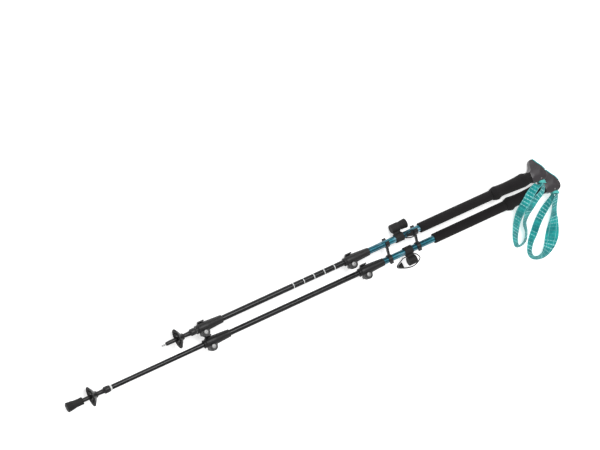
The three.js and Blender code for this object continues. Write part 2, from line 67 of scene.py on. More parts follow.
MM = 0.001
ROLL = math.radians(28)
UPPER_RADIUS = 8.0
UPPER_BORE = 7.35
MIDDLE_RADIUS = 7.0
MIDDLE_BORE = 6.35
LOWER_RADIUS = 6.0
LOWER_BORE = 5.25
BORE_GAP = 0.35
UPPER_TUBE = (6.5, 544.5)
MIDDLE_TUBE = (10.0, 570.0)
LOWER_TUBE = (76.6, 476.6)
GRIP_FOAM_START = 211.5
GRIP_START = 418.5
HEAD_START = 531.5
POCKET_AT = 556.0
STRAP_PIN_Y = -13.0
BASKET_AT = 49.5
COLLAR_END = 89.2
CAP_LENGTH = 40.0
SCREW_AT = 18.5
SCREW_OFFSET = 13.0
EAR_HALF = 8.5
ELASTIC_DIAMETER = 2.6
MARK_SPACING = 28.0
MARK_HALF_WIDTH = 0.9
MARKS_FROM = {"pole_a": 261.0, "pole_b": 450.0}
STORED_CAP_OFFSET = 25.0
STRAP_THICKNESS = 1.5
KEEPER_Y = -22.0
KEEPER_HALF_WIDTH = 3.1
KEEPER_REACH = 9.2
RIBBON_STEPS = 240
RIBBON_COLUMNS = 8

CAMERA_LENS = 140.4
CAMERA_SENSOR = 36
CAMERA_AT = (-1841.5, 2558.8, 4533.5)
LOOK_TURN = math.radians(20)             # towards the tips
CAMERA_ROLL = math.radians(24.17)


def middle(node):
    """The middle of a CAD node's box, in metres."""
    low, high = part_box(node)
    return (low + high) / 2


class Pole:
    """One pole: where its sections stand, and the matrices that place its pieces."""

    def __init__(self, name):
        self.name = name
        self.axis = middle(f"{name}_carbide_tip")
        self.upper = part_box(f"{name}_upper_lock_body")[0].x / MM
        self.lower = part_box(f"{name}_lower_lock_body")[0].x / MM
        self.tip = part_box(f"{name}_carbide_tip")[0].x / MM

    def at(self, x=0.0):
        """From this pole's own millimetres, starting at x, to the row frame in metres."""
        stand = Matrix.Translation((0, self.axis.y, self.axis.z)) @ Matrix.Rotation(-ROLL, 4, "X")
        return stand @ Matrix.Scale(MM, 4) @ Matrix.Translation((x, 0, 0))


POLES = [Pole("pole_a"), Pole("pole_b")]
POLE_A, POLE_B = POLES

# The row frame's origin in the frame that the points given below are written in, whose
# surface is at z = 0, and whose y = 0 is half way between the poles.
ORIGIN = Vector((
    POLE_B.upper - 134.5,
    (POLE_A.axis.y + POLE_B.axis.y) / 2 / MM,
    POLE_A.axis.z / MM - 24.25,
))


def placed(x, y, z):
    """A given point, in metres in the row frame."""
    return (Vector((x, y, z)) + ORIGIN) * MM


# ---------------------------------------------------------------- camera


def camera():
    """Looks across the rolled poles, turned towards their tips, from 5.5 m."""
    lens = bpy.data.cameras.new("camera")
    lens.lens = CAMERA_LENS
    lens.sensor_width = CAMERA_SENSOR
    lens.clip_end = 50
    seen = bpy.data.objects.new("camera", lens)
    bpy.context.scene.collection.objects.link(seen)
    ct, st = math.cos(LOOK_TURN), math.sin(LOOK_TURN)
    cr, sr = math.cos(ROLL), math.sin(ROLL)
    back = Vector((-st, ct * sr, ct * cr))
    along = Vector((ct, st * sr, st * cr))
    across = Vector((0, cr, -sr))
    right = math.cos(CAMERA_ROLL) * along - math.sin(CAMERA_ROLL) * across
    up = math.sin(CAMERA_ROLL) * along + math.cos(CAMERA_ROLL) * across
    where = placed(*CAMERA_AT)
    turned = Matrix((right, up, back)).transposed().to_4x4()
    seen.matrix_world = Matrix.Translation(where) @ turned
    bpy.context.scene.camera = seen


camera()

# ---------------------------------------------------------------- shader maths


class Value:
    """A number that varies over a surface, with arithmetic that adds Math nodes."""

    def __init__(self, finish, socket):
        self.finish = finish
        self.socket = socket

    def math(self, operation, *others):
        return self.finish.value("ShaderNodeMath", {"operation": operation}, [self, *others])

    def __add__(self, other):
        return self.math("ADD", other)

    def __radd__(self, other):
        return self.math("ADD", other)

    def __mul__(self, other):
        return self.math("MULTIPLY", other)

    def __rmul__(self, other):
        return self.math("MULTIPLY", other)

    def __sub__(self, other):
        return self.math("SUBTRACT", other)

    def __rsub__(self, other):
        return self.finish.value("ShaderNodeMath", {"operation": "SUBTRACT"}, [other, self])

    def __truediv__(self, other):
        return self.math("DIVIDE", other)

    def above(self, limit):
        return self.math("GREATER_THAN", limit)

    def below(self, limit):
        return self.math("LESS_THAN", limit)

    def sine(self):
        return self.math("SINE")

    def absolute(self):
        return self.math("ABSOLUTE")

    def fraction(self):
        return self.math("FRACT")

    def floor(self):
        return self.math("FLOOR")

    def step(self, low, high):
        """Goes smoothly from 0 at low to 1 at high."""
        node = self.finish.node("ShaderNodeMapRange", {"interpolation_type": "SMOOTHSTEP"},
                                {"Value": self, "From Min": low, "From Max": high})
        return Value(self.finish, node.outputs["Result"])


class Finish:
    """A material: a Principled shader and the nodes that feed it."""

    def __init__(self, name, **constants):
        self.material = bpy.data.materials.new(name)
        self.material.use_nodes = True
        self.tree = self.material.node_tree
        self.shader = self.tree.nodes["Principled BSDF"]
        for socket, number in constants.items():
            self.shader.inputs[socket.replace("_", " ")].default_value = number

    def node(self, kind, settings=None, sockets=None):
        """Adds a node: its settings first, then its sockets, by name or in order."""
        node = self.tree.nodes.new(kind)
        for setting, choice in (settings or {}).items():
            setattr(node, setting, choice)
        pairs = sockets.items() if isinstance(sockets, dict) else enumerate(sockets or [])
        for key, given in pairs:
            source = given.socket if isinstance(given, Value) else given
            if isinstance(source, bpy.types.NodeSocket):
                self.tree.links.new(source, node.inputs[key])
            else:
                node.inputs[key].default_value = source
        return node

    def value(self, kind, settings=None, sockets=None, output=0):
        return Value(self, self.node(kind, settings, sockets).outputs[output])

    def place(self):
        """x, y and z on the piece, in metres."""
        place = self.node("ShaderNodeTexCoord").outputs["Object"]
        parts = self.node("ShaderNodeSeparateXYZ", None, [place])
        return [Value(self, socket) for socket in parts.outputs]

    def across(self):
        """The piece's own u and v."""
        parts = self.node("ShaderNodeSeparateXYZ", None, [self.node("ShaderNodeUVMap").outputs[0]])
        return [Value(self, socket) for socket in parts.outputs][:2]

    def vector(self, x, y, z):
        return self.node("ShaderNodeCombineXYZ", None, [x, y, z]).outputs[0]

    def noise(self, scale, detail=2.0, roughness=0.5, at=None):
        sockets = {"Scale": scale, "Detail": detail, "Roughness": roughness}
        sockets["Vector"] = at or self.node("ShaderNodeTexCoord").outputs["Object"]
        return self.value("ShaderNodeTexNoise", None, sockets)

    def cells(self, scale):
        place = self.node("ShaderNodeTexCoord").outputs["Object"]
        sockets = {"Vector": place, "Scale": scale}
        return self.value("ShaderNodeTexVoronoi", {"feature": "F1"}, sockets)

    def mix(self, amount, first, second):
        """A colour between two colours."""
        node = self.node("ShaderNodeMix", {"data_type": "RGBA"}, {0: amount, 6: first, 7: second})
        return node.outputs[2]

    def worn(self):
        """Near 1 on edges that stand out, near 0 elsewhere."""
        point = self.value("ShaderNodeNewGeometry", None, None, "Pointiness")
        return point.step(0.51, 0.58)

    def surface(self, colour=None, roughness=None, height=None, depth=0.0001, metallic=None):
        """Links what varies. Height is a number from 0 to 1, and depth its size in metres."""
        varying = {"Base Color": colour, "Roughness": roughness, "Metallic": metallic}
        for socket, given in varying.items():
            if given is not None:
                source = given.socket if isinstance(given, Value) else given
                self.tree.links.new(source, self.shader.inputs[socket])
        if height is not None:
            sockets = {"Distance": depth, "Height": height, "Strength": 1.0}
            bump = self.node("ShaderNodeBump", None, sockets)
            self.tree.links.new(bump.outputs[0], self.shader.inputs["Normal"])
        return self.material


def rgb(red, green, blue):
    return (red, green, blue, 1.0)


# ---------------------------------------------------------------- finishes


def blue_tube():
    """Petrol-blue metallic lacquer with painted highlights: pale facets that come and go along the
    tube.
    """
    finish = Finish("petrol_blue_lacquer", Coat_Weight=0.5, Coat_Roughness=0.1)
    x, y, z = finish.place()
    drift = finish.noise(9.0, 2.0, 0.5, finish.vector(x * 3.0, y * 0.4, z * 0.4))
    base = finish.mix(drift.step(0.35, 0.65), rgb(0.003, 0.07, 0.105), rgb(0.008, 0.15, 0.2))
    slant = (x + y * 1.6 + z * 0.6) * 52.0
    shards = {"Vector": finish.vector(slant, y * 80.0, z * 80.0), "Scale": 1.0}
    settings = {"feature": "F1", "distance": "CHEBYCHEV"}
    facets = finish.value("ShaderNodeTexVoronoi", settings, shards)
    patches = finish.noise(24.0, 1.0, 0.5, finish.vector(x, y * 0.3, z * 0.3)).step(0.46, 0.6)
    # Painted highlight: pale, less metallic facets in patches along the tube, standing in for
    # reflections.
    painted_highlight = facets.below(0.4) * patches * 0.5
    colour = finish.mix(painted_highlight, base, rgb(0.4, 0.62, 0.74))
    flake = finish.cells(9000.0)
    rough = finish.noise(420.0, 3.0, 0.6) * 0.14 + flake * 0.1 + 0.17
    metal = 0.72 - painted_highlight * 0.6
    return finish.surface(colour, rough, flake, 0.000004, metal)


def black_tube(name, mark_from=None, marks=0):
    """Black anodised tube with fine draw lines, and pale height rings where it has them."""
    finish = Finish(name, Coat_Weight=0.12, Coat_Roughness=0.1, Specular_IOR_Level=0.25)
    x, y, z = finish.place()
    lines = finish.noise(1500.0, 2.0, 0.6, finish.vector(x * 0.01, y, z))
    smudge = finish.noise(26.0, 3.0, 0.6)
    base = finish.mix(smudge, rgb(0.007, 0.0075, 0.008), rgb(0.016, 0.0165, 0.0175))
    rough = lines * 0.16 + smudge * 0.12 + 0.14
    metal = 0.35
    if not marks:
        finish.shader.inputs["Metallic"].default_value = metal
        return finish.surface(base, rough, lines, 0.000006)
    spacing = MARK_SPACING * MM
    step = (x - (mark_from - 0.5 * MARK_SPACING) * MM) / spacing
    near = ((step.fraction() - 0.5) * spacing).absolute().below(MARK_HALF_WIDTH * MM)
    ring = near * step.above(0.0) * step.below(float(marks))
    chipped = finish.noise(900.0, 2.0, 0.5).above(0.36)
    painted = ring * chipped
    colour = finish.mix(painted, base, rgb(0.72, 0.74, 0.74))
    return finish.surface(colour, rough + painted * 0.3, lines, 0.000006, metal - painted * metal)


def foam():
    """Closed-cell grip foam: near black, with fine pores and a faint bloom where it is held."""
    finish = Finish("grip_foam", Sheen_Weight=0.06, Sheen_Roughness=0.5, Specular_IOR_Level=0.12)
    pores = finish.cells(2300.0)
    cloud = finish.noise(38.0, 4.0, 0.6)
    fine = finish.noise(1300.0, 3.0, 0.65)
    base = finish.mix(cloud, rgb(0.0085, 0.0078, 0.0083), rgb(0.017, 0.0158, 0.0165))
    speck = fine.step(0.62, 0.74) * 0.35
    colour = finish.mix(speck, base, rgb(0.05, 0.046, 0.048))
    height = pores * 0.55 + fine * 0.6
    return finish.surface(colour, cloud * 0.1 + 0.8, height, 0.00016)


def head_plastic():
    """Satin moulded head with a fine spark-eroded grain and polished edges."""
    finish = Finish("moulded_head", Coat_Weight=0.3, Coat_Roughness=0.22)
    grain = finish.noise(1700.0, 3.0, 0.6)
    cloud = finish.noise(30.0, 3.0, 0.6)
    base = finish.mix(cloud, rgb(0.022, 0.0185, 0.022), rgb(0.044, 0.037, 0.042))
    edge = finish.worn() * 0.4
    colour = finish.mix(edge, base, rgb(0.075, 0.068, 0.076))
    return finish.surface(colour, grain * 0.12 + cloud * 0.1 + 0.3 - edge * 0.1, grain, 0.00003)


def black_plastic(name="clamp_nylon", base=0.008, gloss=0.38):
    """Glass-filled nylon, dark and slightly mottled, rubbed grey on its edges."""
    finish = Finish(name, Specular_IOR_Level=0.3)
    grain = finish.noise(1400.0, 4.0, 0.65)
    cloud = finish.noise(60.0, 3.0, 0.6)
    body = finish.mix(cloud, rgb(base, base, base * 1.05), rgb(base * 2.1, base * 2.05, base * 2.1))
    edge = finish.worn() * (finish.noise(170.0, 3.0, 0.7).step(0.35, 0.7)) * 0.5
    colour = finish.mix(edge, body, rgb(0.085, 0.085, 0.088))
    return finish.surface(colour, grain * 0.16 + cloud * 0.12 + gloss - 0.1, grain, 0.00004)


def tip_rubber():
    """Moulded rubber with a dusty bloom in its low places."""
    finish = Finish("moulded_rubber", Specular_IOR_Level=0.22)
    grain = finish.noise(1100.0, 4.0, 0.7)
    cloud = finish.noise(70.0, 4.0, 0.65)
    base = finish.mix(cloud, rgb(0.009, 0.009, 0.0095), rgb(0.022, 0.0215, 0.021))
    dust = finish.noise(320.0, 4.0, 0.7).step(0.6, 0.8) * 0.3
    colour = finish.mix(dust, base, rgb(0.075, 0.073, 0.07))
    return finish.surface(colour, cloud * 0.18 + 0.55, grain, 0.00008)


def steel(name, bright, roughness):
    """Turned steel: fine rings round the piece and faint stains."""
    finish = Finish(name, Metallic=1.0)
    stain = finish.noise(240.0, 4.0, 0.65)
    scratch = finish.noise(2600.0, 2.0, 0.7)
    low = bright * 0.72
    base = finish.mix(stain, rgb(low, low, low), rgb(bright, bright, bright * 0.99))
    return finish.surface(base, scratch * 0.2 + stain * 0.1 + roughness, scratch, 0.00002)


def pale_ring():
    """A pale moulded ring with a slight yellowing."""
    finish = Finish("pale_ring", Specular_IOR_Level=0.5)
    cloud = finish.noise(200.0, 3.0, 0.6)
    base = finish.mix(cloud, rgb(0.62, 0.64, 0.63), rgb(0.75, 0.76, 0.75))
    return finish.surface(base, cloud * 0.2 + 0.3, finish.noise(1500.0, 3.0, 0.6), 0.00002)


def inlay():
    """Soft teal moulding with a fine grip pattern."""
    finish = Finish("teal_inlay", Specular_IOR_Level=0.4)
    x, y, _ = finish.place()
    cloud = finish.noise(90.0, 3.0, 0.6)
    base = finish.mix(cloud, rgb(0.03, 0.36, 0.38), rgb(0.06, 0.47, 0.48))
    ridges = ((y * 3600.0).sine() * (x * 3600.0).sine()).step(-0.4, 0.6)
    return finish.surface(base, cloud * 0.12 + 0.42, ridges, 0.00016)


def webbing(name, dashes, dark, light, edges):
    """Woven strap with pale dashes in rows across it, stronger in some stretches than others,
    and a pale line down each edge.

    u runs across it and v along it, both in metres.
    """
    finish = Finish(name, Sheen_Weight=0.25, Sheen_Roughness=0.45, Specular_IOR_Level=0.2)
    u, v = finish.across()
    ribs = (v * 5200.0).sine()
    wales = (u * 4600.0).sine()
    weave = (ribs * wales).step(-0.7, 0.7)
    shade = finish.noise(48.0, 3.0, 0.6, finish.vector(u, v, 0.0))
    base = finish.mix(shade.step(0.3, 0.7), dark, light)
    row = v / 0.0092
    shift = (row.floor() * 0.5).fraction()
    dash = ((u / 0.0072 + shift).fraction() - 0.5).absolute().below(0.39)
    yarn = (row.fraction() - 0.5).absolute().below(0.14)
    stretch = finish.noise(22.0, 1.0, 0.5, finish.vector(v, 0.0, 0.0))
    strength = stretch.step(0.42, 0.58) * 0.88 + 0.12
    edge = (u.absolute() - edges).absolute().below(0.0007) * 0.5
    field = (dash * yarn * strength).math("MAXIMUM", edge) * dashes
    colour = finish.mix(field, base, rgb(0.42, 0.86, 0.86))
    rough = weave * 0.1 + shade * 0.08 + 0.72
    return finish.surface(colour, rough, weave * 0.7 + field * 0.5, 0.00022)


def elastic_cord():
    """Braided elastic cord."""
    finish = Finish("braided_elastic", Sheen_Weight=0.05, Specular_IOR_Level=0.15)
    x, y, z = finish.place()
    braid = ((x + y) * 5200.0).sine() * ((x - y + z) * 5200.0).sine()
    cloud = finish.noise(240.0, 3.0, 0.6)
    base = finish.mix(cloud, rgb(0.006, 0.006, 0.0065), rgb(0.015, 0.015, 0.0155))
    return finish.surface(base, cloud * 0.15 + 0.65, braid.step(-0.5, 0.5), 0.00012)


FINISHES = {
    "blue_tube": blue_tube(),
    "lower_tube": black_tube("black_lower_tube"),
    "middle_tube_a": black_tube("black_middle_tube_a", POLE_A.lower + MARKS_FROM["pole_a"],
                                5),
    "middle_tube_b": black_tube("black_middle_tube_b", POLE_B.lower + MARKS_FROM["pole_b"],
                                5),
    "foam": foam(),
    "head": head_plastic(),
    "plastic": black_plastic(),
    "gloss_plastic": black_plastic("ferrule_nylon", 0.009, 0.3),
    "rubber": tip_rubber(),
    "steel": steel("turned_steel", 0.27, 0.32),
    "carbide": steel("ground_carbide", 0.42, 0.3),
    "pale_ring": pale_ring(),
    "inlay": inlay(),
    "webbing": webbing("woven_strap", 0.62, rgb(0.004, 0.19, 0.2), rgb(0.02, 0.4, 0.385),
                       0.0088),
    "plain_webbing": webbing("plain_woven_strap", 0.3, rgb(0.05, 0.4, 0.38), rgb(0.13, 0.6, 0.54),
                             0.003),
    "elastic": elastic_cord(),
}

# ---------------------------------------------------------------- making pieces


def add_piece(bm, name, matrix, body, finish, nodes=(), sharp=32):
    """Makes a piece from a bmesh, in the row frame, riding on a body, in place of CAD nodes."""
    bmesh.ops.transform(bm, matrix=matrix, verts=bm.verts)
    bmesh.ops.recalc_face_normals(bm, faces=bm.faces)
    for face in bm.faces:
        face.smooth = True
    for edge in bm.edges:
        edge.smooth = edge.calc_face_angle(0.0) < math.radians(sharp)
    mesh = bpy.data.meshes.new(name)
    bm.to_mesh(mesh)
    bm.free()
    piece = bpy.data.objects.new(name, mesh)
    bpy.context.scene.collection.objects.link(piece)
    piece.data.materials.append(FINISHES[finish])
    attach(piece, body)
    if nodes:
        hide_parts(*nodes)
    return piece


def spun(bm, profile, sides=64):
    """Turns a profile of (x, radius) about the X axis. It ends on the axis or where it began."""
    closed = profile[0] == profile[-1]
    points = profile[:-1] if closed else profile
    verts = [bm.verts.new((x, radius, 0)) for x, radius in points]
    edges = [bm.edges.new(pair) for pair in zip(verts, verts[1:])]
    if closed:
        edges.append(bm.edges.new((verts[-1], verts[0])))
    bmesh.ops.spin(bm, geom=verts + edges, cent=(0, 0, 0), axis=(1, 0, 0), dvec=(0, 0, 0),
                   angle=2 * math.pi, steps=sides, use_merge=True, use_duplicate=False)
    bmesh.ops.remove_doubles(bm, verts=bm.verts, dist=1e-4)
    return bm


def turned(profile, sides=64):
    return spun(bmesh.new(), profile, sides)


def rounded(bm, radius, angle=35, segments=2):
    """Rounds the edges that are sharper than an angle."""
    edges = [e for e in bm.edges if e.calc_face_angle(0.0) > math.radians(angle)]
    bmesh.ops.bevel(bm, geom=edges, offset=radius, segments=segments, affect="EDGES",
                    profile=0.5, material=-1, clamp_overlap=True)
    return bm


def merged(first, second):
    """Puts a second bmesh's faces in the first."""
    holder = bpy.data.meshes.new("holder")
    second.to_mesh(holder)
    second.free()
    first.from_mesh(holder)
    bpy.data.meshes.remove(holder)
    return first


def from_cad(node, voxel, smoothing):
    """A softened copy of a CAD node's shape, in the row frame: its edges are rounded as moulded
    ones are."""
    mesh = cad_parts[node].data.copy()
    bm = bmesh.new()
    bm.from_mesh(mesh)
    bmesh.ops.remove_doubles(bm, verts=bm.verts, dist=1e-6)
    bm.to_mesh(mesh)
    bm.free()
    rough = bpy.data.objects.new("rough", mesh)
    bpy.context.scene.collection.objects.link(rough)
    remesh = rough.modifiers.new("remesh", "REMESH")
    remesh.mode = "VOXEL"
    remesh.voxel_size = voxel * MM
    remesh.use_smooth_shade = True
    graph = bpy.context.evaluated_depsgraph_get()
    bm = bmesh.new()
    bm.from_object(rough, graph)
    bpy.data.objects.remove(rough)
    for _ in range(smoothing):
        bmesh.ops.smooth_vert(bm, verts=bm.verts, factor=0.5, use_axis_x=True,
                              use_axis_y=True, use_axis_z=True)
    return bm


ROW = Matrix.Identity(4)

# ---------------------------------------------------------------- elastic loops


def loop_cord(pole, points):
    """An elastic cord whose ends are moulded into the cap's holder, and the tab it runs round."""
    curve = bpy.data.curves.new(f"{pole.name}_elastic", "CURVE")
    curve.dimensions = "3D"
    curve.bevel_depth = ELASTIC_DIAMETER / 2 * MM
    curve.bevel_resolution = 4
    curve.resolution_u = 8
    curve.use_fill_caps = True
    line = curve.splines.new("NURBS")
    line.points.add(len(points) - 1)
    route = [placed(*point) for point in points]
    for place, point in zip(line.points, route):
        place.co = (*point, 1)
    line.order_u = 3
    line.use_endpoint_u = True
    cord = bpy.data.objects.new(f"{pole.name}_elastic_cord", curve)
    bpy.context.scene.collection.objects.link(cord)
    curve.materials.append(FINISHES["elastic"])
    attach(cord, f"{pole.name}_holder")
    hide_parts(f"{pole.name}_elastic_loop")
    tab = add_piece(from_cad(f"{pole.name}_loop_tab", 0.35, 3), f"{pole.name}_pull_tab", ROW,
                    f"{pole.name}_holder", "rubber", [f"{pole.name}_loop_tab"], 60)


loop_cord(POLE_A, [
    (269.9, 17.5, 33.4), (273, 16.6, 33.6), (279, 14.2, 33.7), (286, 12.4, 33.7),
    (291.6, 12.2, 33.7), (294, 15, 33.7), (294.4, 21.5, 33.7), (294, 28, 33.7),
    (291.6, 30.8, 33.7), (286, 30.6, 33.7), (279, 28.8, 33.7), (273, 26.4, 33.6),
    (269.9, 25.5, 33.4),
])
loop_cord(POLE_B, [
    (262.9, -32.5, 30.1), (260, -33.2, 29), (259.6, -36.8, 22.5), (261.6, -42.4, 13),
    (262, -47.6, 6), (260.4, -52.2, 2.4), (256.4, -55, 1.4), (251, -58.2, 1.4),
    (246.8, -61.8, 1.4), (246.2, -65.8, 1.4), (249.6, -68.6, 1.4), (256, -71.4, 1.4),
    (264, -75, 1.4), (271, -77.6, 1.4), (280, -79.8, 1.4), (290, -80.4, 1.5),
    (299.6, -77, 2.6), (304.6, -68, 8), (304, -58, 17), (299.6, -49.4, 24.6),
    (294.4, -42.4, 28.2), (289.6, -36.4, 29.8), (286, -33.4, 30.1), (282.1, -32.5, 30.1),
])

# ---------------------------------------------------------------- tubes


def tube(start, end, inner, outer):
    """A tube with its ends broken at the edge."""
    return turned([
        (start, inner), (start, outer - 0.25), (start + 0.25, outer), (end - 0.25, outer),
        (end, outer - 0.25), (end, inner), (start, inner),
    ])


def tubes(pole):
    name = pole.name
    add_piece(tube(*UPPER_TUBE, UPPER_BORE, UPPER_RADIUS), f"{name}_upper_tube",
              pole.at(pole.upper), f"{name}_upper", "blue_tube",
              [f"{name}_upper_shaft"])
    add_piece(tube(*MIDDLE_TUBE, MIDDLE_BORE, MIDDLE_RADIUS), f"{name}_middle_tube",
              pole.at(pole.lower), f"{name}_middle", f"middle_tube_{name[-1]}",
              [f"{name}_middle_shaft"])
    add_piece(tube(*LOWER_TUBE, LOWER_BORE, LOWER_RADIUS), f"{name}_lower_tube",
              pole.at(pole.tip), f"{name}_lower", "lower_tube",
              [f"{name}_lower_shaft"])
    plugs = (("middle", MIDDLE_TUBE[1], MIDDLE_BORE, MIDDLE_RADIUS + 0.05),
             ("lower", LOWER_TUBE[1], LOWER_BORE, LOWER_RADIUS + 0.05))
    for section, end, bore, rim in plugs:
        plug = turned([
            (end - 14, 0), (end - 14, bore - 0.6), (end - 13.4, bore - 0.3),
            (end + 0.3, bore - 0.3),
            (end + 0.3, rim), (end + 1.5, rim), (end + 1.9, rim - 0.5), (end + 2.7, rim - 0.5),
            (end + 3.1, rim), (end + 4, rim), (end + 5, rim - 1), (end + 5, 0),
        ], 32)
        start = pole.lower if section == "middle" else pole.tip
        add_piece(plug, f"{name}_{section}_plug", pole.at(start), f"{name}_{section}",
                  "plastic", [f"{name}_{section}_bush"])


# ---------------------------------------------------------------- grip and head


# What the front and the back of the handle stand out by beside its round profile, along x.
FRONT_EXTRA = [(424, -0.4), (431, 0), (436, 0.5), (442, 0.9), (456, 0.6), (470, 0.2), (495, 0),
               (506, 0.4), (511, 1.2), (515, 1.1), (519, -0.1), (526, -0.4), (531, 0)]
BACK_EXTRA = [(424, 0), (431, 0.5), (435, 1.0), (438, 0.4), (442, -0.7), (448, -1.0), (458, -0.5),
              (470, 0)]


def between(table, x):
    """The value at x in a table of (x, value), held at its ends."""
    for (low, first), (high, second) in zip(table, table[1:]):
        if low <= x <= high:
            return first + (second - first) * (x - low) / (high - low)
    return table[0][1] if x < table[0][0] else table[-1][1]


def foam_handles(pole):
    """The long foam sleeve and the shaped handle above it."""
    name = pole.name
    bore = UPPER_RADIUS + BORE_GAP
    sleeve = turned([
        (GRIP_FOAM_START, bore), (GRIP_FOAM_START, 11.3), (GRIP_FOAM_START + 0.5, 11.9),
        (GRIP_FOAM_START + 1.6, 12.25), (GRIP_FOAM_START + 3, 12.3), (300, 12.35), (360, 12.3),
        (GRIP_START - 3, 12.3), (GRIP_START - 1.6, 12.2), (GRIP_START - 0.4, 11.7),
        (GRIP_START - 0.4, bore), (GRIP_FOAM_START, bore),
    ])
    foam_piece = add_piece(sleeve, f"{name}_foam_sleeve", pole.at(pole.upper), f"{name}_upper",
                           "foam", [f"{name}_grip_extension"], 50)
    outline = [
        (GRIP_START, 12.0), (419, 12.8), (421, 14.2), (424, 15.4), (427, 16.3), (430, 16.9),
        (432.5, 17.0), (435, 16.4), (438, 15.5), (442, 14.9), (446, 14.7), (451, 14.5),
        (456, 14.5), (462, 14.5), (470, 14.8), (485, 15.4), (495, 16.0), (501, 16.3), (506, 16.6),
        (511, 16.7), (513, 16.6), (515, 16.4), (517, 16.1), (519, 15.8), (522, 15.2), (526, 14.4),
        (HEAD_START - 0.4, 13.5),
    ]
    shape = turned([(GRIP_START, bore), *outline, (HEAD_START - 0.4, bore), (GRIP_START, bore)])
    for vert in shape.verts:
        radius = math.hypot(vert.co.y, vert.co.z)
        if radius > bore + 1:
            lean = vert.co.y / radius
            extra = abs(lean) * between(FRONT_EXTRA if lean > 0 else BACK_EXTRA, vert.co.x)
            vert.co.y *= 1 + extra / radius
            vert.co.z *= 1 + extra / radius
    handle = add_piece(shape, f"{name}_foam_handle", pole.at(pole.upper), f"{name}_upper",
                       "foam", [f"{name}_grip"], 50)


def heads(pole):
    """The moulded head with its strap pocket, teal top, strap pin and wedge."""
    name = pole.name
    add_piece(from_cad(f"{name}_head", 0.6, 7), f"{name}_head_shell", ROW, f"{name}_upper",
              "head", [f"{name}_head"], 60)
    add_piece(from_cad(f"{name}_head_inlay", 0.4, 3), f"{name}_head_top", ROW, f"{name}_upper",
              "inlay", [f"{name}_head_inlay"], 60)
    pin = turned([(-11, 0), (-11, 1.6), (-10.6, 2), (10.6, 2), (11, 1.6), (11, 0)], 32)
    stand = Matrix.Translation((POCKET_AT, STRAP_PIN_Y, 0)) @ Matrix.Rotation(-math.pi / 2, 4, "Y")
    add_piece(pin, f"{name}_strap_bar", pole.at(pole.upper) @ stand, f"{name}_upper", "steel",
              [f"{name}_strap_pin"])
    add_piece(from_cad(f"{name}_strap_wedge", 0.35, 3), f"{name}_wedge_block", ROW,
              f"{name}_wedge", "plastic", [f"{name}_strap_wedge"], 60)


# ---------------------------------------------------------------- clamps


def ribbed(shell, matrix):
    """Fine ribs across the front of a clamp's sleeve."""
    back = matrix.inverted()
    for vert in shell.verts:
        x, y, z = back @ vert.co
        radius = math.hypot(y, z)
        if 29 < x < 64 and y > -4 and radius > 9:
            fade = min(1, (x - 29) / 3, (64 - x) / 3, (y + 4) / 3)
            rise = 0.22 * fade * math.sin(x * math.tau / 3.2)
            vert.co = matrix @ Vector((x, y * (1 + rise / radius), z * (1 + rise / radius)))


def clamps(pole):
    """Both clamps: split sleeve, forked lever, domed screw and barrel pin."""
    name = pole.name
    for place, body in (("upper", f"{name}_upper"), ("lower", f"{name}_middle")):
        lock = f"{name}_{place}_lock"
        start = pole.upper if place == "upper" else pole.lower
        shell = from_cad(f"{lock}_body", 0.42, 4)
        ribbed(shell, pole.at(start))
        add_piece(shell, f"{name}_{place}_clamp_sleeve", ROW, body, "plastic",
                  [f"{lock}_body"], 60)
        rib = bmesh.new()
        bmesh.ops.create_cube(rib, size=1.0)
        shape = Matrix.Translation((46, 9.55, 0)) @ Matrix.Rotation(math.radians(-3.4), 4, "Z")
        sized = shape @ Matrix.Diagonal((42, 2.4, 1.8, 1))
        bmesh.ops.transform(rib, matrix=sized, verts=rib.verts)
        rounded(rib, 0.5, 35, 2)
        add_piece(rib, f"{name}_{place}_clamp_rib", pole.at(start), body, "plastic")
        lever = from_cad(f"{lock}_lever", 0.4, 3)
        add_piece(lever, f"{name}_{place}_clamp_lever", ROW, f"{name}_{place}_lever",
                  "gloss_plastic", [f"{lock}_lever"], 60)
        barrel = from_cad(f"{lock}_pivot", 0.3, 2)
        add_piece(barrel, f"{name}_{place}_clamp_barrel", ROW, body, "steel",
                  [f"{lock}_pivot"], 60)
        base = EAR_HALF + 0.3
        screw = turned([
            (-16.5, 0), (-16.5, 1.7), (-16.2, 2), (base, 2), (base, 5.6), (base + 0.4, 6),
            (base + 1.7, 6), (base + 2.6, 5.4), (base + 3.1, 4.1), (base + 3.2, 2.4),
            (base + 3.2, 1.6), (base + 1.6, 1.5), (base + 1.6, 0),
        ], 48)
        for angle in (0, math.pi / 2):
            bar = bmesh.new()
            bmesh.ops.create_cube(bar, size=1.0)
            sized = Matrix.Rotation(angle, 4, "X") @ Matrix.Diagonal((0.5, 7.5, 0.9, 1))
            bmesh.ops.transform(bar, matrix=Matrix.Translation((base + 2.95, 0, 0)) @ sized,
                                verts=bar.verts)
            merged(screw, bar)
        seat = Matrix.Translation((SCREW_AT, -SCREW_OFFSET, 0))
        stand = seat @ Matrix.Rotation(-math.pi / 2, 4, "Y")
        add_piece(screw, f"{name}_{place}_clamp_screw", pole.at(start) @ stand,
                  f"{name}_{place}_screw", "steel", [f"{lock}_screw"])


# ---------------------------------------------------------------- lower end


